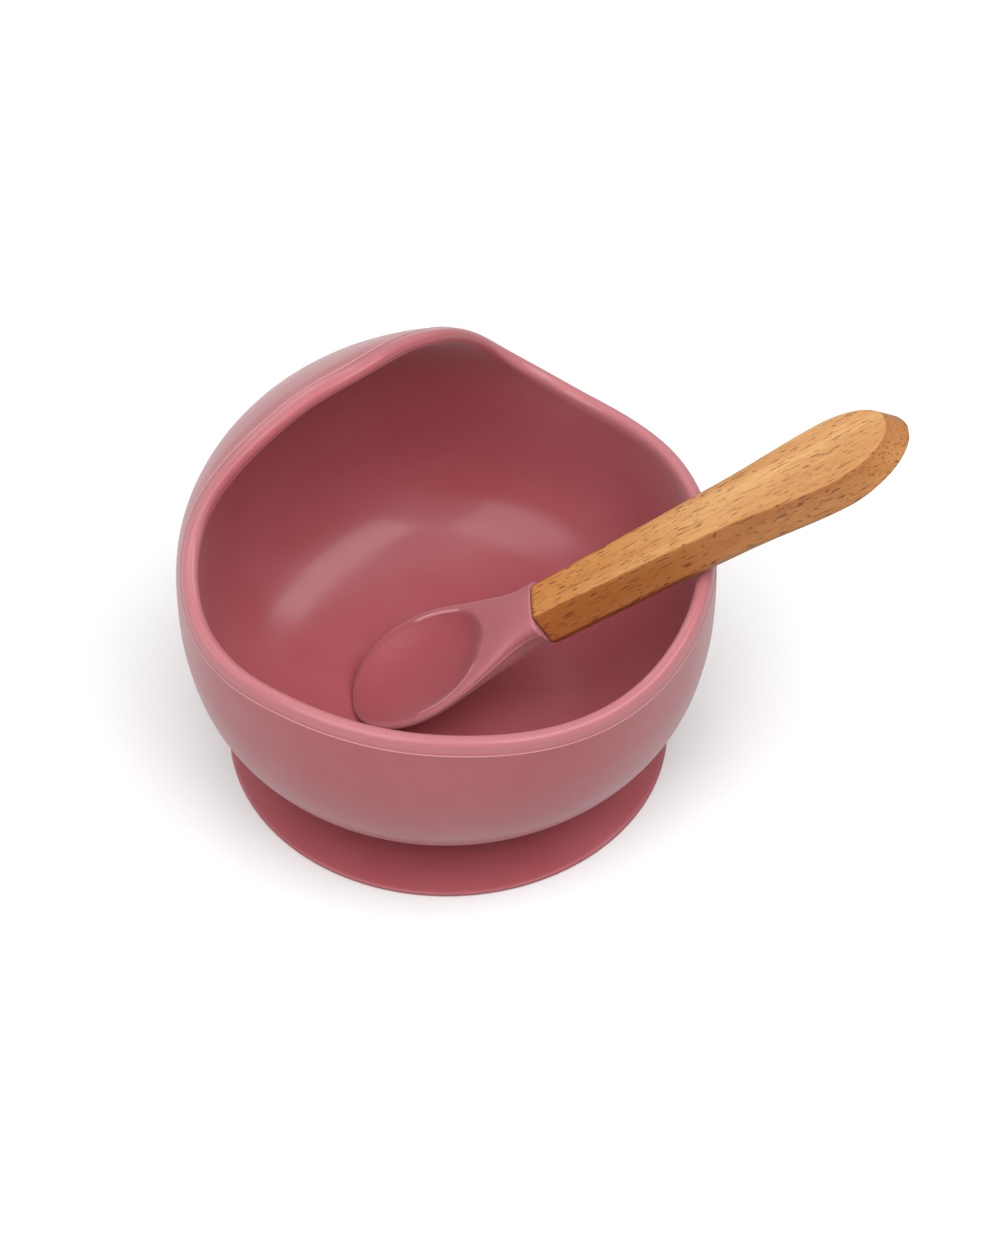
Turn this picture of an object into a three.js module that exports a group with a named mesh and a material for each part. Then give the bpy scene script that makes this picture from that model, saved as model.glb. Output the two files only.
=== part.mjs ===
// Scoop-hooded suction bowl with its silicone and beech spoon.
// Millimetres, +Z up. The origin is the centre of the sealing lip, on the table top.
// The hood stands at the back, towards +Y, and the bowl is the same on both sides of the YZ plane.
import * as THREE from 'three';
import { ParametricGeometry } from 'three/addons/geometries/ParametricGeometry.js';

// ---------- Driving dimensions ----------

// Bowl shell: one wall of even thickness around a middle surface of revolution.
const WALL = 3.5;                 // silicone wall
const BOWL_RADIUS = 59;           // outside, at the widest ring
const WIDEST_HEIGHT = 52.8;       // height of the widest ring
const LOWER_DEPTH = 45;           // widest ring down to the middle of the floor
const LOWER_FULLNESS = 3.2;       // 2 is an ellipse; more gives a flatter floor and a fuller side
const DOME_RISE = 45.8;           // widest ring up to where the closed dome would end
const DOME_FULLNESS = 1.9;
const FOOT_RADIUS = 24;           // flat foot that the suction base is bonded to
const FOOT_HEIGHT = 6;
const FOOT_CHAMFER = 0.5;
const STRAIGHT_TOP = 40;          // below this height the wall is the same all round
const RIM_BAND = 8;               // strip below the rim whose rows run along the rim
const SEAM_DROP = 3.7;            // mould seam below the top of the rim
const SEAM_WIDTH = 0.7;
const SEAM_PROUD = 0.2;

// Height of the top of the rim at angles from the hood's middle, in degrees.
const RIM_STATIONS = [
  [0, 94], [20, 92.2], [40, 85.5], [55, 67], [70, 59.5], [85, 58.8], [105, 60.8], [140, 60.3], [180, 57],
];

// Suction base: a hub under the foot and a thin skirt that ends in the sealing lip.
const JOINT_GAP = 0.3;            // clearance left between touching pieces
const SKIRT_RADIUS = 49.7;
const HUB_RADIUS = 26;
const HUB_BOTTOM = 3.2;
const SKIRT_WALL = 1.4;
const LIP_WIDTH = 2.6;
const LIP_THICKNESS = 1.2;

// Spoon, in its own frame: origin at the joint, +X along the handle, +Z out of its upper face.
const HANDLE_LENGTH = 95.6;
const HEAD_LENGTH = 52.6;         // joint to the head's front end, along its centre line
const HEAD_HALF_WIDTH = 14.6;
const HEAD_DROOP = 4.6;           // degrees the head lies flatter than the handle
const NECK_BEND = 16;             // length over which the droop builds up
const TENON_RADIUS = 3;
const TENON_LENGTH = 9;
const DISH_MIDDLE = 33.5;         // joint to the middle of the oval dish
const DISH_HALF_LENGTH = 18.1;
const DISH_HALF_WIDTH = 13;
const DISH_DEPTH = 3.6;
const HEAD_SEAM_PROUD = 0.14;     // mould seam round the head's outline
const HEAD_SEAM_HALF = 0.2;       // half the seam's width

// Where the spoon lies: its joint, and how the handle points.
const SPOON_JOINT = [14.95, -15.6, 40.9];
const SPOON_HEADING = -43.1;      // degrees from +X, about +Z
const SPOON_RISE = 38.8;          // degrees above the table
const SPOON_ROLL = 8;             // degrees about the handle

// ---------- Materials ----------

const roseSilicone = new THREE.MeshStandardMaterial({ color: 0xb8666e, roughness: 0.5, metalness: 0 });
const skirtSilicone = new THREE.MeshStandardMaterial({ color: 0xa9565f, roughness: 0.5, metalness: 0 });
const headSilicone = new THREE.MeshStandardMaterial({ color: 0xbb6970, roughness: 0.5, metalness: 0 });
const beech = new THREE.MeshStandardMaterial({ color: 0xc98a4b, roughness: 0.6, metalness: 0 });

// ---------- Helpers ----------

const rad = THREE.MathUtils.degToRad;
const { lerp, clamp, smoothstep } = THREE.MathUtils;

// A closed skin over rings of points. The first and the last ring are single points, and the
// index counts the points of a ring.
function skin(rings, around) {
  const last = rings.length - 1;
  return new ParametricGeometry((u, v, target) => {
    const index = (around - Math.round(u * around)) % around;
    target.set(...rings[Math.round(v * last)](index));
  }, around, last);
}

// ---------- Bowl shell ----------

const middleRadius = BOWL_RADIUS - WALL / 2;

// Radius of the wall's middle surface at a height.
function wallRadius(height) {
  const below = height < WIDEST_HEIGHT;
  const reach = below ? LOWER_DEPTH : DOME_RISE;
  const power = below ? LOWER_FULLNESS : DOME_FULLNESS;
  const part = clamp(Math.abs(height - WIDEST_HEIGHT) / reach, 0, 1);
  return middleRadius * (1 - part ** power) ** (1 / power);
}

// Outward direction across the wall at a height, as [radial, vertical].
function wallNormal(height) {
  const step = 0.05;
  const slope = (wallRadius(height + step) - wallRadius(height - step)) / (2 * step);
  const length = Math.hypot(1, slope);
  return [1 / length, -slope / length];
}

// A point of the wall; side is +1 outside, -1 inside and 0 in the middle.
function wallPoint(angle, height, side) {
  const [radial, vertical] = wallNormal(height);
  const offset = side * WALL / 2;
  const radius = wallRadius(height) + offset * radial;
  return new THREE.Vector3(Math.sin(angle) * radius, Math.cos(angle) * radius, height + offset * vertical);
}

// The rim's height follows a smooth curve through its stations, mirrored at both ends.
const rimCurve = new THREE.CatmullRomCurve3([
  [-RIM_STATIONS[1][0], RIM_STATIONS[1][1]],
  ...RIM_STATIONS,
  [360 - RIM_STATIONS.at(-2)[0], RIM_STATIONS.at(-2)[1]],
].map(([angle, height]) => new THREE.Vector3(angle, height, 0)), false, 'centripetal');

function rimHeight(angle) {
  const turned = Math.abs(THREE.MathUtils.radToDeg(Math.atan2(Math.sin(angle), Math.cos(angle))));
  let low = 0;
  let high = 1;
  for (let i = 0; i < 40; i += 1) {
    const middle = (low + high) / 2;
    if (rimCurve.getPoint(middle).x < turned) low = middle;
    else high = middle;
  }
  return rimCurve.getPoint(low).y;
}

// The centre line of the rim's round edge, half a wall below its top.
function rimCentre(angle) {
  return wallPoint(angle, rimHeight(angle) - WALL / 2, 0);
}

// Columns are spread evenly along the rim, so they crowd where the hood climbs.
const COLUMNS = 76;
const columnAngles = (() => {
  const samples = 720;
  const lengths = [0];
  for (let i = 1; i <= samples; i += 1) {
    const here = rimCentre(2 * Math.PI * i / samples);
    const before = rimCentre(2 * Math.PI * (i - 1) / samples);
    lengths.push(lengths[i - 1] + here.distanceTo(before));
  }
  return Array.from({ length: COLUMNS }, (_, column) => {
    const wanted = lengths[samples] * column / COLUMNS;
    const i = Math.max(1, lengths.findIndex((length) => length >= wanted));
    const part = (wanted - lengths[i - 1]) / (lengths[i] - lengths[i - 1]);
    return 2 * Math.PI * (i - 1 + part) / samples;
  });
})();

// The rim's local directions: outwards across the wall, and up out of the edge.
const columns = columnAngles.map((angle) => {
  const step = 0.002;
  const height = rimHeight(angle) - WALL / 2;
  const along = rimCentre(angle + step).sub(rimCentre(angle - step)).normalize();
  const [radial, vertical] = wallNormal(height);
  const outward = new THREE.Vector3(Math.sin(angle) * radial, Math.cos(angle) * radial, vertical);
  const upward = new THREE.Vector3().crossVectors(outward, along).normalize();
  if (upward.z < 0) upward.negate();
  return { angle, centre: rimCentre(angle), outward, upward };
});

// Angle and height on the wall at a distance below the rim's centre line, square to the rim.
function belowRim(column, distance) {
  const point = column.centre.clone().addScaledVector(column.upward, -distance);
  let turn = Math.atan2(point.x, point.y) - column.angle;
  turn = Math.atan2(Math.sin(turn), Math.cos(turn));
  return { angle: column.angle + turn, height: point.z };
}

function rimBandPoint(column, distance, side, proud = 0) {
  const { angle, height } = belowRim(column, distance);
  return wallPoint(angle, height, side * (1 + 2 * proud / WALL));
}

// Between the straight part and the rim band, rows go over from level to following the rim.
function upperWallPoint(column, part, side) {
  const band = belowRim(column, RIM_BAND);
  return wallPoint(lerp(column.angle, band.angle, part), lerp(STRAIGHT_TOP, band.height, part), side);
}

function rimEdgePoint(column, turn) {
  return column.centre.clone()
    .addScaledVector(column.outward, Math.cos(turn) * WALL / 2)
    .addScaledVector(column.upward, Math.sin(turn) * WALL / 2);
}

// Heights of the straight part's rows, spaced evenly round the lower curve.
function straightHeight(startHeight, part) {
  const turnAt = (height) => Math.acos(((WIDEST_HEIGHT - height) / LOWER_DEPTH) ** (LOWER_FULLNESS / 2));
  const turn = lerp(turnAt(startHeight), turnAt(STRAIGHT_TOP), part);
  return WIDEST_HEIGHT - LOWER_DEPTH * Math.cos(turn) ** (2 / LOWER_FULLNESS);
}

const LOWER_ROWS = 10;
const UPPER_ROWS = 6;
const EDGE_ROWS = 6;
const OUTER_START = 0.75;         // first outside row of the wall, above the lowest middle point
const INNER_START = 0.15;

function bowlShell() {
  const lowest = WIDEST_HEIGHT - LOWER_DEPTH;
  const seam = SEAM_DROP - WALL / 2;
  const seamHalf = SEAM_WIDTH / 2;
  const floorHeight = lowest + WALL / 2;
  const flat = (radius, height) => (column) => (
    new THREE.Vector3(Math.sin(column.angle) * radius, Math.cos(column.angle) * radius, height));
  const lowerRow = (start, i, side) => {
    const height = straightHeight(lowest + start, i / (LOWER_ROWS - 1));
    return (column) => wallPoint(column.angle, height, side);
  };
  const upperRow = (i, side) => (column) => upperWallPoint(column, i / UPPER_ROWS, side);

  const rows = [flat(0, FOOT_HEIGHT), flat(FOOT_RADIUS / 2, FOOT_HEIGHT)];
  rows.push(flat(FOOT_RADIUS, FOOT_HEIGHT), flat(FOOT_RADIUS + FOOT_CHAMFER, FOOT_HEIGHT + FOOT_CHAMFER));
  for (let i = 0; i < LOWER_ROWS; i += 1) rows.push(lowerRow(OUTER_START, i, 1));
  for (let i = 1; i <= UPPER_ROWS; i += 1) rows.push(upperRow(i, 1));
  rows.push((column) => rimBandPoint(column, (seam + RIM_BAND) / 2, 1));
  rows.push((column) => rimBandPoint(column, seam + seamHalf, 1));
  rows.push((column) => rimBandPoint(column, seam, 1, SEAM_PROUD));
  rows.push((column) => rimBandPoint(column, seam - seamHalf, 1));
  for (let i = 0; i <= EDGE_ROWS; i += 1) rows.push((column) => rimEdgePoint(column, Math.PI * i / EDGE_ROWS));
  rows.push((column) => rimBandPoint(column, RIM_BAND / 2, -1));
  for (let i = UPPER_ROWS; i >= 1; i -= 1) rows.push(upperRow(i, -1));
  for (let i = LOWER_ROWS - 1; i >= 0; i -= 1) rows.push(lowerRow(INNER_START, i, -1));
  rows.push(flat(wallRadius(lowest + INNER_START) / 2, floorHeight), flat(0, floorHeight));
  return skin(rows.map((row) => (index) => row(columns[index])), COLUMNS);
}

// ---------- Suction base ----------

const LIP_EDGE = 0.35;            // rounding of the lip's outer edge
const SKIRT_FALL = 6;             // the skirt joins the lip this far in from it
const FILLET = 6;                 // spread of the fillet between hub and skirt
const FILLET_DROP = 1.1;
const HUB_EDGE = 0.5;

function suctionBase() {
  const hubTop = FOOT_HEIGHT - JOINT_GAP;
  const lipInside = SKIRT_RADIUS - LIP_WIDTH;
  const profile = [
    [0, HUB_BOTTOM],
    [HUB_RADIUS - FILLET / 2, HUB_BOTTOM],
    [HUB_RADIUS + 0.7 * FILLET, HUB_BOTTOM - LIP_EDGE],
    [lipInside - SKIRT_FALL, HUB_BOTTOM - SKIRT_WALL - LIP_EDGE],
    [lipInside - LIP_THICKNESS, LIP_EDGE],
    [lipInside, 0],
    [SKIRT_RADIUS - LIP_EDGE, 0],
    [SKIRT_RADIUS, LIP_EDGE],
    [SKIRT_RADIUS, LIP_THICKNESS - LIP_EDGE],
    [SKIRT_RADIUS - LIP_EDGE, LIP_THICKNESS],
    [SKIRT_RADIUS - SKIRT_WALL, LIP_THICKNESS + LIP_EDGE / 2],
    [lipInside - SKIRT_FALL, HUB_BOTTOM - LIP_EDGE],
    [HUB_RADIUS + FILLET, hubTop - FILLET_DROP],
    [HUB_RADIUS + FILLET / 4, hubTop - HUB_EDGE],
    [HUB_RADIUS - HUB_EDGE, hubTop],
    [0, hubTop],
  ];
  return new THREE.LatheGeometry(profile.map(([radius, height]) => new THREE.Vector2(radius, height)), 72)
    .rotateX(Math.PI / 2);
}

// ---------- Spoon ----------

// Sizes along the handle: distance from the joint, half width of the flat upper facet and its
// height, then half width and depth of the widest line, and the depth of the rounded underside.
const HANDLE_STATIONS = [
  { at: 0, facet: 4.2, top: 4.9, width: 7.3, widest: 1.8, bottom: 5.2 },
  { at: 30, facet: 5.1, top: 4.9, width: 7.8, widest: 1.9, bottom: 5.2 },
  { at: 50, facet: 6, top: 4.7, width: 8.7, widest: 2, bottom: 5.2 },
  { at: 77, facet: 8.5, top: 4.1, width: 10.9, widest: 2.3, bottom: 4.8 },
  { at: 96, facet: 8.5, top: 3.7, width: 10.9, widest: 2.1, bottom: 3.4 },
];
const END_ROUND_START = 77;       // from here both outlines close in a half oval
const END_FULLNESS = 2.2;
const END_FACET_WIDTH = 1.9;      // the sloping side runs round the end too
const TIP_UNDER_SHARE = 0.62;     // of the underside's depth, left at the very tip
const UNDERSIDE_SHARES = [[0.9, 0.55], [0.52, 1]];     // of the half width, and of the way down
const HANDLE_AROUND = 12;

function alongHandle(distance, key) {
  const next = Math.max(1, HANDLE_STATIONS.findIndex((station) => station.at >= distance));
  const before = HANDLE_STATIONS[next - 1];
  const after = HANDLE_STATIONS[next];
  return lerp(before[key], after[key], smoothstep(distance, before.at, after.at));
}

// One ring of the handle: a flat top, sloping sides and a rounded underside. Turn is 0 up to the
// start of the round end, and a quarter circle at its tip.
function handleRing(distance, turn) {
  const endLength = HANDLE_LENGTH - END_ROUND_START;
  const reach = Math.sin(turn);
  const closing = Math.sqrt(1 - reach ** END_FULLNESS);
  const size = (key) => alongHandle(turn ? END_ROUND_START + endLength * reach : distance, key);
  const outlineX = turn ? END_ROUND_START + endLength * reach : distance;
  const facetX = turn ? END_ROUND_START + (endLength - END_FACET_WIDTH) * reach : distance;
  const width = size('width') * closing;
  const facet = size('facet') * closing;
  const under = size('bottom') * lerp(TIP_UNDER_SHARE, 1, closing);
  const half = [
    [outlineX, width, -size('widest')],
    [(outlineX + facetX) / 2, (width + facet) / 2, (size('top') - size('widest')) / 2],
    [facetX, facet, size('top')],
  ];
  const underside = UNDERSIDE_SHARES.map(([across, down]) => (
    [outlineX, width * across, lerp(-size('widest'), -under, down)]));
  const mirrored = ([x, y, z]) => [x, -y, z];
  return [
    ...half, [facetX, 0, size('top')], ...half.map(mirrored).reverse(),
    ...underside.map(mirrored), [outlineX, 0, -under], ...underside.slice().reverse(),
  ];
}

function spoonHandle() {
  const straightRows = 10;
  const endRows = 9;
  const tenon = (radius, x) => (index) => {
    const turn = 2 * Math.PI * index / HANDLE_AROUND;
    return [x, Math.cos(turn) * radius, Math.sin(turn) * radius];
  };
  const rows = [tenon(0, -TENON_LENGTH), tenon(TENON_RADIUS, -TENON_LENGTH), tenon(TENON_RADIUS, 0)];
  for (let i = 0; i <= straightRows; i += 1) {
    const ring = handleRing(END_ROUND_START * i / straightRows, 0);
    rows.push((index) => ring[index]);
  }
  for (let i = 1; i < endRows; i += 1) {
    const ring = handleRing(END_ROUND_START, Math.PI / 2 * i / endRows);
    rows.push((index) => ring[index]);
  }
  rows.push(() => [HANDLE_LENGTH - END_FACET_WIDTH / 3, 0, 0]);
  return skin(rows.reverse(), HANDLE_AROUND);
}

// Half width of the head's outline: a neck with a slight waist that flares into an oval.
const NECK_HALF_WIDTH = 7.1;
const WAIST_DEPTH = 0.5;
const WAIST_LENGTH = 12;
const FLARE_START = 2;
const WIDEST_AT = 34;
function headHalfWidth(distance) {
  if (distance < WIDEST_AT) {
    const waist = WAIST_DEPTH * Math.sin(Math.PI * clamp(distance / WAIST_LENGTH, 0, 1));
    return lerp(NECK_HALF_WIDTH, HEAD_HALF_WIDTH, smoothstep(distance, FLARE_START, WIDEST_AT)) - waist;
  }
  const part = (distance - WIDEST_AT) / (HEAD_LENGTH - WIDEST_AT);
  return HEAD_HALF_WIDTH * Math.sqrt(1 - part ** 2);
}

// Centre line of the head: it leaves the joint with the handle and droops over the neck.
function headCentre(distance) {
  const droop = rad(HEAD_DROOP);
  const bent = Math.min(distance, NECK_BEND);
  const turn = droop * bent / NECK_BEND;
  const past = distance - bent;
  return {
    x: -(bent * Math.cos(turn / 2) + past * Math.cos(droop)),
    z: bent * Math.sin(turn / 2) + past * Math.sin(droop),
    turn,
  };
}

// An arch that is full at the middle and drops to nothing at the outline.
function arch(y, width, fullness) {
  return (1 - clamp(Math.abs(y) / width, 0, 1) ** fullness) ** (1 / fullness);
}

// Heights over and under the outline: a thick neck that thins to the rounded lip of the dish.
// Each is given at the joint and past the neck, with the lengths over which one goes into the other.
const HEAD_OVER = { neck: 4.9, lip: 1.45, from: 1, to: 27, neckFullness: 2.9, lipFullness: 4 };
const HEAD_UNDER = { neck: 5.3, bowl: 3.9, from: 3, to: 24, neckFullness: 3.2, bowlFullness: 2.4 };
const OUTLINE_LIFT = { neck: 1.5, bowl: 0.5 };         // height of the outline and its seam
const TIP_ROUNDING = 5;
const TIP_SLIMNESS = 0.8;

// From 1 to 0 over the last stretch of the head.
function tipShare(distance) {
  return clamp((HEAD_LENGTH - distance) / TIP_ROUNDING, 0, 1);
}

function outlineHeight(distance) {
  const fade = smoothstep(distance, HEAD_UNDER.from, HEAD_UNDER.to);
  return lerp(OUTLINE_LIFT.neck, OUTLINE_LIFT.bowl, fade) * tipShare(distance);
}

function headTop(distance, y, width) {
  const fade = smoothstep(distance, HEAD_OVER.from, HEAD_OVER.to);
  const height = lerp(HEAD_OVER.neck, HEAD_OVER.lip, fade) * Math.sqrt(tipShare(distance));
  const fullness = lerp(HEAD_OVER.neckFullness, HEAD_OVER.lipFullness, fade);
  return lerp(outlineHeight(distance), height, arch(y, width, fullness));
}

function headBottom(distance, y, width) {
  const fade = smoothstep(distance, HEAD_UNDER.from, HEAD_UNDER.to);
  const past = clamp((distance - WIDEST_AT) / (HEAD_LENGTH - WIDEST_AT), 0, 1);
  const fullness = lerp(HEAD_UNDER.neckFullness, HEAD_UNDER.bowlFullness, fade);
  const tip = (1 - past ** 2) ** TIP_SLIMNESS;
  const depth = lerp(HEAD_UNDER.neck, HEAD_UNDER.bowl, fade) * tip;
  return lerp(outlineHeight(distance), -depth, arch(y, width, fullness));
}

// Half width of the dish's edge. Past either end of the dish it stays a narrow strip.
const STRIP_HALF_WIDTH = 2;
const STRIP_SPREAD = 0.13;
const TIP_STRIP_SHARE = 0.4;
function dishHalfWidth(distance) {
  const part = (distance - DISH_MIDDLE) / DISH_HALF_LENGTH;
  const oval = DISH_HALF_WIDTH * Math.sqrt(Math.max(0, 1 - part ** 2));
  const beforeDish = Math.max(0, DISH_MIDDLE - DISH_HALF_LENGTH - distance);
  const strip = distance < DISH_MIDDLE
    ? STRIP_HALF_WIDTH + STRIP_SPREAD * beforeDish
    : TIP_STRIP_SHARE * headHalfWidth(distance);
  return Math.max(oval, strip);
}

// How deep the dish is cut at a place: steep at the neck end, easy at the front.
const STEEP_END = 4.4;
const EASY_END = 2;
function dishCut(distance, y) {
  const lengthwise = (distance - DISH_MIDDLE) / DISH_HALF_LENGTH;
  const inside = clamp(1 - Math.hypot(lengthwise, y / DISH_HALF_WIDTH), 0, 1);
  const steepness = lerp(STEEP_END, EASY_END, smoothstep(lengthwise, -0.75, 0.8));
  return DISH_DEPTH * (1 - (1 - inside) ** steepness);
}

// The head's section is a loop of points: over the top, then back along the underside.
const LIP_SHARES = [0.985, 0.93, 0.78, 0.45, 0];       // from the outline in to the dish's edge
const DISH_SHARES = [0.93, 0.78, 0.54, 0.27];          // of the dish's half width
const UNDER_SHARES = [0.985, 0.93, 0.79, 0.57, 0.3];   // of the head's half width
const HEAD_AROUND = 2 * (LIP_SHARES.length + DISH_SHARES.length + UNDER_SHARES.length) + 8;

function headSection(distance) {
  const width = headHalfWidth(distance);
  const edge = Math.min(dishHalfWidth(distance), width * 0.9);
  const lip = LIP_SHARES.map((share) => lerp(edge, width, share));
  const over = [...lip, ...DISH_SHARES.map((share) => share * edge)];
  const above = over.map((y) => [y, headTop(distance, y, width) - dishCut(distance, y)]);
  const below = UNDER_SHARES.map((share) => [share * width, headBottom(distance, share * width, width)]);
  const seam = outlineHeight(distance);
  const seamHalf = HEAD_SEAM_HALF * tipShare(distance);
  const mirrored = ([y, z]) => [-y, z];
  const upperHalf = [[width, seam + seamHalf], ...above];
  const lowerHalf = [[width, seam - seamHalf], ...below];
  return [
    [width + HEAD_SEAM_PROUD, seam],
    ...upperHalf, [0, headTop(distance, 0, width) - dishCut(distance, 0)], ...upperHalf.map(mirrored).reverse(),
    [-width - HEAD_SEAM_PROUD, seam],
    ...lowerHalf.map(mirrored), [0, headBottom(distance, 0, width)], ...lowerHalf.slice().reverse(),
  ];
}

// Rows crowd where the dish starts and where the tip closes.
const HEAD_ROWS = [
  2.5, 6, 9.5, 12.5, 14.6, 15.7, 16.8, 18.2, 20, 22.5, 25.5, 29, 33, 37, 41, 44.5, 47.5, 49.6, 51.2, 52.2,
];

function spoonHead() {
  const socketRadius = TENON_RADIUS + JOINT_GAP;
  const socketDepth = TENON_LENGTH + JOINT_GAP;
  const socket = (radius, x) => (index) => {
    const turn = 2 * Math.PI * index / HEAD_AROUND;
    return [x, Math.cos(turn) * radius, Math.sin(turn) * radius];
  };
  const rows = [socket(0, -socketDepth), socket(socketRadius, -socketDepth), socket(socketRadius, -JOINT_GAP)];
  const face = headSection(JOINT_GAP);
  rows.push((index) => [-JOINT_GAP, ...face[index]]);
  HEAD_ROWS.forEach((distance) => {
    const centre = headCentre(distance);
    const section = headSection(distance);
    rows.push((index) => {
      const [y, z] = section[index];
      return [centre.x + Math.sin(centre.turn) * z, y, centre.z + Math.cos(centre.turn) * z];
    });
  });
  const tip = headCentre(HEAD_LENGTH);
  rows.push(() => [tip.x, 0, tip.z]);
  return skin(rows, HEAD_AROUND);
}

// ---------- Assembly ----------

function piece(name, geometry, material) {
  const mesh = new THREE.Mesh(geometry, material);
  mesh.name = name;
  return mesh;
}

const spoon = new THREE.Group();
spoon.position.set(...SPOON_JOINT);
spoon.rotation.set(rad(SPOON_ROLL), -rad(SPOON_RISE), rad(SPOON_HEADING), 'ZYX');
spoon.add(piece('spoon_head', spoonHead(), headSilicone));
spoon.add(piece('spoon_handle', spoonHandle(), beech));

const suctionBowl = new THREE.Group();
suctionBowl.add(piece('bowl_shell', bowlShell(), roseSilicone));
suctionBowl.add(piece('suction_base', suctionBase(), skirtSilicone));
suctionBowl.add(spoon);

export default suctionBowl;
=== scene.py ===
# Scoop-hooded suction bowl with its silicone and beech spoon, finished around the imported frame.
# Everything is in metres, +Z up, with the hood at the back towards +Y.
import math

import bpy
import numpy as np
from mathutils import Matrix, Vector
from mathutils.kdtree import KDTree


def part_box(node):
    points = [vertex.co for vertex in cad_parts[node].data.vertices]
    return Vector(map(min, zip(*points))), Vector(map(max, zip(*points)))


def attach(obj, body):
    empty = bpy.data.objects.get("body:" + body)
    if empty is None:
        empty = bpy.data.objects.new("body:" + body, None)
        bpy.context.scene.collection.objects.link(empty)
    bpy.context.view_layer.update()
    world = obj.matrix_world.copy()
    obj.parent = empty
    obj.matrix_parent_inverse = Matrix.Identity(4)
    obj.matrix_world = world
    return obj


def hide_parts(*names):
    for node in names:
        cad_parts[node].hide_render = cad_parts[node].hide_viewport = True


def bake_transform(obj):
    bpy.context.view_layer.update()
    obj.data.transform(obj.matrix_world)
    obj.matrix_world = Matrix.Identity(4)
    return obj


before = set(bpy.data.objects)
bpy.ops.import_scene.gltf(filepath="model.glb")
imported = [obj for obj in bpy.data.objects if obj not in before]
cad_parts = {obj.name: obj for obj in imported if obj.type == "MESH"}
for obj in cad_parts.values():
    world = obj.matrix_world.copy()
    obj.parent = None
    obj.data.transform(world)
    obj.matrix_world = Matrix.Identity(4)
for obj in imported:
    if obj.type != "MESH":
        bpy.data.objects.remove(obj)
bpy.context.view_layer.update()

MM = 0.001

# ---------- Finishes ----------

# Silicone. The two masks are vertex attributes that the skin's pattern reads; both place painted
# highlight.
SEAM_MASK = "mould_seam"                 # 1 along a piece's mould seam, 0 elsewhere
PAINTED_HIGHLIGHT_MASK = "painted_highlight_share"                 # 1 where painted highlight lies: the rim above the seam and the spoon's lip
ROSE = (0.330, 0.072, 0.084)
ROSE_BLOOM = (0.40, 0.13, 0.145)         # faint pale clouds in the skin
# painted highlight: the pale line along the mould seam's ridge
SEAM_HIGHLIGHT_ROSE = (0.60, 0.30, 0.32)
# painted highlight: paler rose on the rim above the seam and on the spoon's lip
PAINTED_HIGHLIGHT_ROSE = (0.40, 0.135, 0.15)
BLOOM_SHARE = 0.3
SEAM_SHARPNESS = 0.45                    # how far the mask has to rise before the painted seam highlight shows
SILICONE_GRAIN = 0.0022 * MM
RIPPLE_HEIGHT = 3.0                      # of the slow ripple, in heights of the grain
SILICONE_IOR = 1.5
SHEEN_WEIGHT = 0.2
SHEEN_ROUGHNESS = 0.45
SHEEN_TINT = (1.0, 0.86, 0.88)

# Oiled beech.
BEECH_LIGHT = (0.60, 0.335, 0.125)
BEECH_STREAK = (0.46, 0.21, 0.062)
BEECH_FLECK = (0.17, 0.055, 0.014)
BEECH_JOINT_SHADE = (0.48, 0.155, 0.03)         # painted shade next to the joint, where the bowl shades the handle, tinted by painted pink bounce light
JOINT_SHADE_FROM = 45 * MM                      # along the handle, from the joint
JOINT_SHADE_TO = -5 * MM
PAINTED_SIDE_SHADE = (0.68, 0.50, 0.36)          # painted shade: darkening of the sides, against the flat upper facet that faces the light
WOOD_RELIEF = 0.09 * MM
WOOD_RELIEF_STRENGTH = 0.6

# ---------- Sizes that the finish follows ----------

TENON = 9 * MM                           # the part of the handle hidden in the spoon head's neck
DISH_MIDDLE = 33.5 * MM                  # the spoon's oval dish, from the joint
DISH_HALF_LENGTH = 18.1 * MM
DISH_HALF_WIDTH = 13 * MM
DISH_EDGE = 0.97                         # where the painted highlight starts, in half widths of the dish
DISH_EDGE_FADE = 0.08
NECK_FACE = 8 * MM                       # sharp edges this near the joint aren't mould seam
RIM_REACH = 6.2 * MM                     # from the seam over the rim to where its painted highlight ends
RIM_FADE = 0.9 * MM

# Edges sharper than these stay crisp when a piece is subdivided.
BOWL_CRISP = math.radians(48)
SPOON_CRISP = math.radians(44)
HANDLE_CRISP = math.radians(33)
FACET_CREASE = 0.8                       # a little under 1, so that the facets' edges are eased

# ---------- Picking and editing ----------


def let_go():
    """Deselects every object."""
    bpy.ops.object.select_all(action="DESELECT")


def take(piece):
    """Makes one object the selected and active one."""
    let_go()
    piece.select_set(True)
    bpy.context.view_layer.objects.active = piece


def edit(piece, mode="VERT"):
    """Opens a piece in edit mode with nothing selected."""
    take(piece)
    bpy.ops.object.mode_set(mode="EDIT")
    bpy.ops.mesh.select_mode(type=mode)
    bpy.ops.mesh.select_all(action="DESELECT")


def done():
    """Goes back to object mode."""
    bpy.ops.object.mode_set(mode="OBJECT")


def finish_mesh(piece, levels):
    """Subdivides a piece's skin and shades it smooth."""
    take(piece)
    smoother = piece.modifiers.new("smooth_skin", "SUBSURF")
    smoother.levels = levels
    smoother.render_levels = levels
    bpy.ops.object.modifier_apply(modifier=smoother.name)
    bpy.ops.object.shade_smooth()


def refined_copy(node, name):
    """A copy of a CAD node with its doubles merged and its triangles paired into quads."""
    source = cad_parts[node]
    piece = source.copy()
    piece.data = source.data.copy()
    piece.name = name
    for key in list(piece.keys()):
        del piece[key]
    piece.parent = None
    bpy.context.scene.collection.objects.link(piece)
    piece.data.materials.clear()
    edit(piece)
    bpy.ops.mesh.select_all(action="SELECT")
    bpy.ops.mesh.customdata_custom_splitnormals_clear()
    bpy.ops.mesh.remove_doubles(threshold=0.001 * MM)
    bpy.ops.mesh.tris_convert_to_quads(face_threshold=math.pi, shape_threshold=math.pi)
    done()
    return piece


# ---------- Shader building ----------


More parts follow.
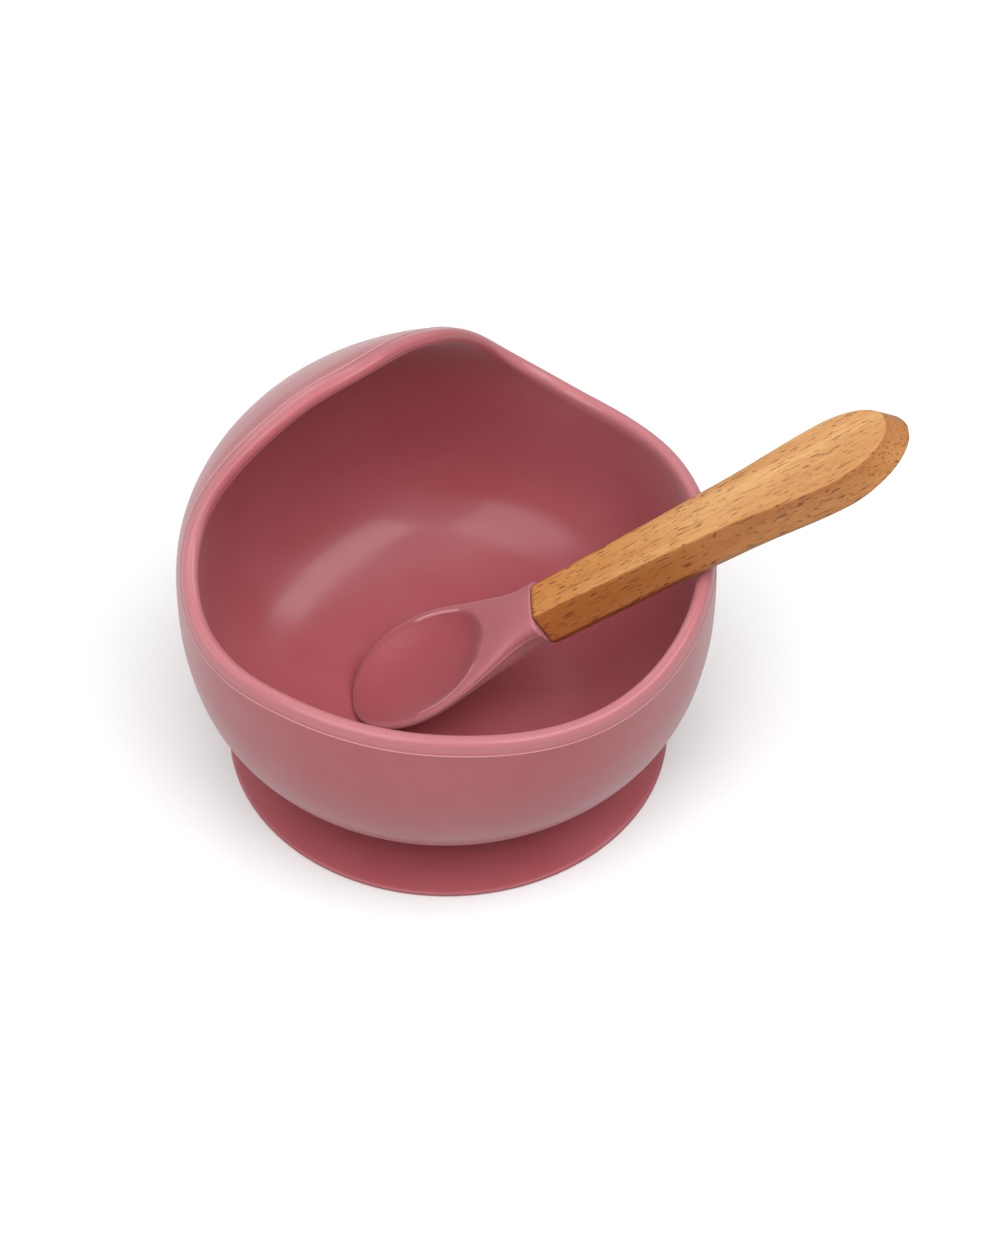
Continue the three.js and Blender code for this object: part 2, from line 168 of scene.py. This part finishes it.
class Shader:
    """A material or node group being wired up."""

    def __init__(self, tree):
        self.tree = tree

    def node(self, kind, **settings):
        made = self.tree.nodes.new(kind)
        for key, value in settings.items():
            setattr(made, key, value)
        return made

    def link(self, source, target):
        self.tree.links.new(source, target)

    def coordinates(self, kind):
        return self.node("ShaderNodeTexCoord").outputs[kind]

    def mask(self, name):
        return self.node("ShaderNodeAttribute", attribute_name=name).outputs["Fac"]

    def noise(self, vector, scale=1.0, detail=3.0, roughness=0.5, distortion=0.0):
        made = self.node("ShaderNodeTexNoise")
        made.inputs["Scale"].default_value = scale
        made.inputs["Detail"].default_value = detail
        made.inputs["Roughness"].default_value = roughness
        made.inputs["Distortion"].default_value = distortion
        self.link(vector, made.inputs["Vector"])
        return made.outputs["Fac"]

    def spread(self, value, low, high, to_low=0.0, to_high=1.0):
        made = self.node("ShaderNodeMapRange")
        limits = {"From Min": low, "From Max": high, "To Min": to_low, "To Max": to_high}
        for key, number in limits.items():
            made.inputs[key].default_value = number
        self.link(value, made.inputs["Value"])
        return made.outputs["Result"]

    def math(self, operation, first, second):
        made = self.node("ShaderNodeMath", operation=operation)
        for socket, value in zip(made.inputs, (first, second)):
            if isinstance(value, (int, float)):
                socket.default_value = value
            else:
                self.link(value, socket)
        return made.outputs[0]

    def mix(self, share, first, second, blend="MIX"):
        made = self.node("ShaderNodeMix", data_type="RGBA", blend_type=blend)
        sockets = made.inputs[0], made.inputs[6], made.inputs[7]    # share and the two colours
        for socket, value in zip(sockets, (share, first, second)):
            if isinstance(value, tuple):
                socket.default_value = (*value, 1.0)
            else:
                self.link(value, socket)
        return made.outputs[2]

    def relief(self, height, distance, strength):
        """The normal of a surface raised by a height pattern."""
        made = self.node("ShaderNodeBump")
        made.inputs["Strength"].default_value = strength
        made.inputs["Distance"].default_value = distance
        self.link(height, made.inputs["Height"])
        return made.outputs["Normal"]


def new_material(name):
    """An empty material, what wires it up, and its Principled shader."""
    material = bpy.data.materials.new(name)
    material.use_nodes = True
    return material, Shader(material.node_tree), material.node_tree.nodes["Principled BSDF"]


# ---------- Silicone ----------


def silicone_skin_group():
    """Moulded silicone: cloudy colour and polish, painted highlight along the seams and on the rim and
    lip edges, a fine grain.
    """
    group = bpy.data.node_groups.new("silicone_skin", "ShaderNodeTree")
    for name in ("Colour", "Bloom Colour", "Seam Highlight Colour", "Painted Highlight Colour"):
        group.interface.new_socket(name, in_out="INPUT", socket_type="NodeSocketColor")
    for name in ("Bloom", "Polish"):
        group.interface.new_socket(name, in_out="INPUT", socket_type="NodeSocketFloat")
    group.interface.new_socket("Colour", in_out="OUTPUT", socket_type="NodeSocketColor")
    for name in ("Roughness", "Height"):
        group.interface.new_socket(name, in_out="OUTPUT", socket_type="NodeSocketFloat")

    shader = Shader(group)
    given = shader.node("NodeGroupInput").outputs
    result = shader.node("NodeGroupOutput").inputs
    place = shader.coordinates("Object")

    clouds = shader.spread(shader.noise(place, scale=38), low=0.35, high=0.7)
    bloom = shader.math("MULTIPLY", clouds, given["Bloom"])
    colour = shader.mix(bloom, given["Colour"], given["Bloom Colour"])
    # painted highlight on the rim and the spoon's lip, where its mask is set
    colour = shader.mix(shader.mask(PAINTED_HIGHLIGHT_MASK), colour, given["Painted Highlight Colour"])
    # painted highlight: a pale line along the mould seam
    line = shader.spread(shader.mask(SEAM_MASK), low=SEAM_SHARPNESS, high=1.0)
    shader.link(shader.mix(line, colour, given["Seam Highlight Colour"]), result["Colour"])

    smears = shader.noise(place, scale=120, detail=4, roughness=0.6)
    smears = shader.spread(smears, low=0.3, high=0.7, to_low=-0.03, to_high=0.04)
    shader.link(shader.math("ADD", given["Polish"], smears), result["Roughness"])

    grain = shader.noise(place, scale=700, detail=1)
    ripple = shader.math("MULTIPLY", shader.noise(place, scale=160, detail=2), RIPPLE_HEIGHT)
    shader.link(shader.math("ADD", grain, ripple), result["Height"])
    return group


def silicone(name, group, polish):
    """Rose silicone; polish is its roughness, lower where the mould was smoother."""
    material, shader, principled = new_material(name)
    skin = shader.node("ShaderNodeGroup", node_tree=group)
    skin.inputs["Colour"].default_value = (*ROSE, 1)
    skin.inputs["Bloom Colour"].default_value = (*ROSE_BLOOM, 1)
    skin.inputs["Seam Highlight Colour"].default_value = (*SEAM_HIGHLIGHT_ROSE, 1)
    skin.inputs["Painted Highlight Colour"].default_value = (*PAINTED_HIGHLIGHT_ROSE, 1)
    skin.inputs["Bloom"].default_value = BLOOM_SHARE
    skin.inputs["Polish"].default_value = polish
    shader.link(skin.outputs["Colour"], principled.inputs["Base Color"])
    shader.link(skin.outputs["Roughness"], principled.inputs["Roughness"])
    normal = shader.relief(skin.outputs["Height"], distance=SILICONE_GRAIN, strength=1.0)
    shader.link(normal, principled.inputs["Normal"])
    principled.inputs["IOR"].default_value = SILICONE_IOR
    principled.inputs["Sheen Weight"].default_value = SHEEN_WEIGHT
    principled.inputs["Sheen Roughness"].default_value = SHEEN_ROUGHNESS
    principled.inputs["Sheen Tint"].default_value = (*SHEEN_TINT, 1)
    return material


# ---------- Beech ----------


def handle_lie(node):
    """Where the handle starts and which way it and its width run."""
    places = np.array([vert.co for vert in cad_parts[node].data.vertices])
    _, _, directions = np.linalg.svd(places - places.mean(0), full_matrices=False)
    along = directions[0] if directions[0][2] > 0 else -directions[0]
    across = directions[1] if np.cross(along, directions[1])[2] > 0 else -directions[1]
    reach = (places - places.mean(0)) @ along
    start = places.mean(0) + along * (reach.min() + TENON)
    return Vector(start), Vector(along), Vector(across)


def beech_wood(name, joint, along, across):
    """Oiled beech: straight fine grain along the handle, with its short dark ray flecks, and painted
    shade on its sides and next to the joint.
    """
    material, shader, principled = new_material(name)
    facing = along.cross(across)             # out of the handle's flat upper facet
    turned = shader.node("ShaderNodeMapping", vector_type="TEXTURE")
    turned.inputs["Location"].default_value = joint
    turned.inputs["Rotation"].default_value = Matrix((along, across, facing)).transposed().to_euler()
    shader.link(shader.coordinates("Object"), turned.inputs["Vector"])
    grainwise = turned.outputs["Vector"]

    def stretched(per_metre, tilt=0.0):
        """The handle's own place, scaled along it, across it and through it."""
        made = shader.node("ShaderNodeMapping", vector_type="POINT")
        made.inputs["Scale"].default_value = per_metre
        made.inputs["Rotation"].default_value = (0, 0, tilt)
        shader.link(grainwise, made.inputs["Vector"])
        return made.outputs["Vector"]

    rings = shader.noise(stretched((11, 150, 90)), roughness=0.55, distortion=0.5)
    fibres = shader.noise(stretched((110, 3000, 3000)), roughness=0.6)
    pores = shader.noise(stretched((300, 3200, 2800)), detail=2)
    flecks = shader.noise(stretched((330, 2300, 2000), 0.1), detail=1, roughness=0.4, distortion=0.4)
    splits = shader.noise(stretched((190, 2000, 1800), -0.08), detail=1, roughness=0.4, distortion=0.5)

    colour = shader.mix(shader.spread(rings, low=0.38, high=0.62), BEECH_LIGHT, BEECH_STREAK)
    colour = shader.mix(shader.spread(fibres, low=0.38, high=0.68, to_high=0.8), colour, BEECH_STREAK)
    apart = shader.node("ShaderNodeSeparateXYZ")
    shader.link(grainwise, apart.inputs[0])
    # painted shade and pink bounce light, strongest at the joint
    joint_shade_share = shader.spread(apart.outputs["X"], low=JOINT_SHADE_FROM, high=JOINT_SHADE_TO, to_high=0.6)
    colour = shader.mix(joint_shade_share, colour, BEECH_JOINT_SHADE)
    colour = shader.mix(shader.spread(pores, low=0.60, high=0.70, to_high=0.5), colour, BEECH_FLECK)
    colour = shader.mix(shader.spread(flecks, low=0.645, high=0.685, to_high=0.75), colour, BEECH_FLECK)
    colour = shader.mix(shader.spread(splits, low=0.68, high=0.71, to_high=0.7), colour, BEECH_FLECK)

    # painted shade: the sides darker than the upper facet, by how far each faces away from it
    upward = shader.node("ShaderNodeVectorMath", operation="DOT_PRODUCT")
    shader.link(shader.coordinates("Normal"), upward.inputs[0])
    upward.inputs[1].default_value = facing
    shaded_sides = shader.spread(upward.outputs["Value"], low=0.92, high=0.55, to_high=0.85)
    colour = shader.mix(shaded_sides, colour, PAINTED_SIDE_SHADE, "MULTIPLY")
    shader.link(colour, principled.inputs["Base Color"])

    dryness = shader.spread(fibres, low=0.3, high=0.7, to_low=0.4, to_high=0.58)
    shader.link(dryness, principled.inputs["Roughness"])
    dents = shader.spread(flecks, low=0.645, high=0.70, to_high=-1.2)
    height = shader.math("ADD", fibres, dents)
    normal = shader.relief(height, distance=WOOD_RELIEF, strength=WOOD_RELIEF_STRENGTH)
    shader.link(normal, principled.inputs["Normal"])
    return material


# ---------- The pieces ----------


def sharp_edges_creased(piece, angle, crease):
    """Keeps the edges sharper than an angle crisp under subdivision."""
    edit(piece, "EDGE")
    bpy.ops.mesh.edges_select_sharp(sharpness=angle)
    bpy.ops.transform.edge_crease(value=crease)
    done()


def mark_seam(piece, angle, wanted):
    """Writes the seam mask: the vertices on the sharp edges that pass a test."""
    edit(piece, "EDGE")
    bpy.ops.mesh.edges_select_sharp(sharpness=angle)
    done()
    mask = piece.data.attributes.new(SEAM_MASK, "FLOAT", "POINT")
    for vert, entry in zip(piece.data.vertices, mask.data):
        entry.value = 1.0 if vert.select and wanted(vert.co) else 0.0


def mark_painted_highlight(piece, share_at):
    """Writes the painted highlight mask from each vertex's place."""
    mask = piece.data.attributes.new(PAINTED_HIGHLIGHT_MASK, "FLOAT", "POINT")
    for vert, entry in zip(piece.data.vertices, mask.data):
        entry.value = min(1.0, max(0.0, share_at(vert.co)))


def mark_rim_painted_highlight(piece):
    """The round edge above the mould seam gets a painted pale highlight, fading out down the inside."""
    seam = piece.data.attributes[SEAM_MASK].data
    vertices = piece.data.vertices
    on_seam = [vert.co.copy() for vert, entry in zip(vertices, seam) if entry.value > 0.9]
    tree = KDTree(len(on_seam))
    for index, place in enumerate(on_seam):
        tree.insert(place, index)
    tree.balance()

    def share_at(place):
        nearest, _, distance = tree.find(place)
        above = (place.z - nearest.z) / RIM_FADE
        return min(above, (RIM_REACH - distance) / RIM_FADE)

    mark_painted_highlight(piece, share_at)


def bowl_body():
    """The moulded shell: a continuous skin, with the mould seam left crisp below the rim."""
    piece = refined_copy("bowl_shell", "bowl_body")
    low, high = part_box("bowl_shell")
    mark_seam(piece, BOWL_CRISP, lambda place: place.z > (low.z + high.z) / 2)
    sharp_edges_creased(piece, BOWL_CRISP, 1.0)
    finish_mesh(piece, 2)
    mark_rim_painted_highlight(piece)
    return piece


def suction_skirt():
    """Hub, thin cone and sealing lip, drawn out ring by ring from the hub's underside."""
    _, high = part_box("suction_base")
    lip, top = high.x / MM, high.z / MM
    hub = 26
    # Radius and height of each ring, in millimetres.
    underside = [(12, 3.2), (23.5, 3.2), (30, 2.85), (41.1, 1.35), (45.9, 0.35), (47.2, 0.02)]
    lip_edge = [(lip - 0.4, 0.02), (lip, 0.4), (lip, 0.85), (lip - 0.4, 1.2)]
    cone = [(lip - 1.6, 1.42), (41.1, 2.75), (hub + 6, 4.6)]
    hub_top = [(hub + 1.5, 5.2), (hub - 0.6, top - 0.05), (hub - 4, top), (12, top)]
    rings = [(radius * MM, height * MM) for radius, height in underside + lip_edge + cone + hub_top]

    let_go()
    radius, height = rings[0]
    bpy.ops.mesh.primitive_circle_add(
        vertices=96, radius=radius, fill_type="NGON", location=(0, 0, height))
    piece = bpy.context.active_object
    piece.name = "suction_skirt"
    bpy.ops.object.mode_set(mode="EDIT")
    bpy.ops.mesh.select_all(action="SELECT")
    for before, ring in zip(rings, rings[1:]):
        rise = ring[1] - before[1]
        share = ring[0] / before[0]
        bpy.ops.mesh.extrude_region_move(TRANSFORM_OT_translate={"value": (0, 0, rise)})
        bpy.ops.transform.resize(value=(share, share, 1), center_override=(0, 0, ring[1]))
    bpy.ops.mesh.select_all(action="SELECT")
    bpy.ops.mesh.normals_make_consistent(inside=False)
    done()
    bpy.ops.object.transform_apply(location=True, rotation=True, scale=True)
    finish_mesh(piece, 1)
    return piece


def spoon_head(joint, along, across):
    """Soft head: rounded lip and dish, crisp where it meets the handle and along its mould seam."""
    piece = refined_copy("spoon_head", "silicone_spoon_head")
    mark_seam(piece, SPOON_CRISP, lambda place: (place - joint).length > NECK_FACE)
    sharp_edges_creased(piece, SPOON_CRISP, 1.0)
    finish_mesh(piece, 2)

    def outside_dish(place):
        lengthwise = ((joint - place).dot(along) - DISH_MIDDLE) / DISH_HALF_LENGTH
        sideways = (place - joint).dot(across) / DISH_HALF_WIDTH
        return (math.hypot(lengthwise, sideways) - DISH_EDGE) / DISH_EDGE_FADE

    # painted highlight on the lip, outside the dish
    mark_painted_highlight(piece, outside_dish)
    return piece


def spoon_handle():
    """Beech handle, its facets kept with eased edges."""
    piece = refined_copy("spoon_handle", "beech_spoon_handle")
    sharp_edges_creased(piece, HANDLE_CRISP, FACET_CREASE)
    finish_mesh(piece, 3)
    return piece


skin_group = silicone_skin_group()
rose = silicone("rose_silicone", skin_group, polish=0.22)
rose_skirt = silicone("rose_silicone_skirt", skin_group, polish=0.36)
rose_spoon = silicone("rose_silicone_spoon", skin_group, polish=0.34)
joint, along, across = handle_lie("spoon_handle")
beech = beech_wood("oiled_beech", joint, along, across)

bowl = bowl_body()
skirt = suction_skirt()
head = spoon_head(joint, along, across)
handle = spoon_handle()

for piece, material, node, slot in (
    (bowl, rose, "bowl_shell", "rose_silicone"),
    (skirt, rose_skirt, "suction_base", "skirt_silicone"),
    (head, rose_spoon, "spoon_head", "spoon_silicone"),
    (handle, beech, "spoon_handle", "beech"),
):
    piece.data.materials.append(material)
    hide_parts(node)

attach(bowl, "bowl")
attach(head, "spoon")
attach(handle, "spoon")
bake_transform(skirt)

# ---------- Floor, light and camera ----------

FLOOR_SIZE = 8
FLOOR_PALE = (0.80, 0.80, 0.80)
FLOOR_BOUNCE = (0.46, 0.46, 0.46)        # the floor throws less light back up than it shows
FLOOR_ROUGHNESS = 0.8
FLOOR_SPECULAR = 0.1

AIM = Vector((0, 0, 0.04))               # what the lamps point at, and how far off they stand
LAMP_DISTANCE = 1.1
SKY_BRIGHTNESS = 0.42

CAMERA_HEADING = math.radians(40.3)      # how far round to the right of +Y the camera looks
CAMERA_TILT = math.radians(46.65)        # how far down it looks
CAMERA_DISTANCE = 0.940
FOCAL_LENGTH = 119.1
ORIGIN_LEFT = 0.01168                    # how far the bowl's origin lies left of the view's middle
ORIGIN_BELOW = 0.02359                   # and below it


def plain_floor():
    """The pale studio floor that the bowl stands on."""
    let_go()
    bpy.ops.mesh.primitive_plane_add(size=FLOOR_SIZE, location=(0, 0, 0))
    floor = bpy.context.active_object
    floor.name = "studio_floor"
    material, shader, principled = new_material("pale_floor")
    seen = shader.node("ShaderNodeLightPath").outputs["Is Camera Ray"]
    shader.link(shader.mix(seen, FLOOR_BOUNCE, FLOOR_PALE), principled.inputs["Base Color"])
    principled.inputs["Roughness"].default_value = FLOOR_ROUGHNESS
    principled.inputs["Specular IOR Level"].default_value = FLOOR_SPECULAR
    floor.data.materials.append(material)


def softbox(name, heading, height, size, brightness):
    """A soft rectangular lamp, placed by its heading from +Y and its height angle, in degrees."""
    heading, height = math.radians(heading), math.radians(height)
    flat = math.cos(height)
    away = Vector((math.sin(heading) * flat, math.cos(heading) * flat, math.sin(height)))
    let_go()
    bpy.ops.object.light_add(type="AREA", location=AIM + away * LAMP_DISTANCE)
    lamp = bpy.context.active_object
    lamp.name = name
    lamp.data.shape = "RECTANGLE"
    lamp.data.size, lamp.data.size_y = size
    lamp.data.energy = brightness * math.pi * size[0] * size[1]
    lamp.rotation_euler = away.to_track_quat("Z", "Y").to_euler()
    return lamp


def studio():
    """A soft white sky and five softboxes; the overhead one fills without showing in the gloss."""
    world = bpy.data.worlds.new("studio_world")
    bpy.context.scene.world = world
    world.use_nodes = True
    sky = world.node_tree.nodes["Background"]
    sky.inputs["Color"].default_value = (1, 1, 1, 1)
    sky.inputs["Strength"].default_value = SKY_BRIGHTNESS
    softbox("front_right_softbox", heading=148, height=50, size=(1.35, 0.5), brightness=2.4)
    softbox("left_softbox", heading=-98, height=42, size=(0.95, 0.95), brightness=1.75)
    softbox("back_panel", heading=-14, height=17, size=(1.4, 0.6), brightness=1.1)
    softbox("back_strip", heading=24, height=42, size=(0.12, 0.9), brightness=1.8)
    overhead = softbox("overhead_softbox", heading=-150, height=70, size=(1.1, 1.1), brightness=3.0)
    overhead.visible_glossy = False
    bpy.context.scene.view_settings.view_transform = "Standard"


def camera():
    """Looks down into the bowl from the front left, with its origin a little off the middle."""
    flat = Vector((math.sin(CAMERA_HEADING), math.cos(CAMERA_HEADING), 0))
    ahead = flat * math.cos(CAMERA_TILT) - Vector((0, 0, math.sin(CAMERA_TILT)))
    right = Vector((flat.y, -flat.x, 0))
    up = right.cross(ahead)
    data = bpy.data.cameras.new("camera")
    data.lens = FOCAL_LENGTH
    made = bpy.data.objects.new("camera", data)
    bpy.context.scene.collection.objects.link(made)
    place = right * ORIGIN_LEFT + up * ORIGIN_BELOW - ahead * CAMERA_DISTANCE
    turn = Matrix((right, up, -ahead)).transposed().to_4x4()
    made.matrix_world = Matrix.Translation(place) @ turn
    bpy.context.scene.camera = made


plain_floor()
studio()
camera()
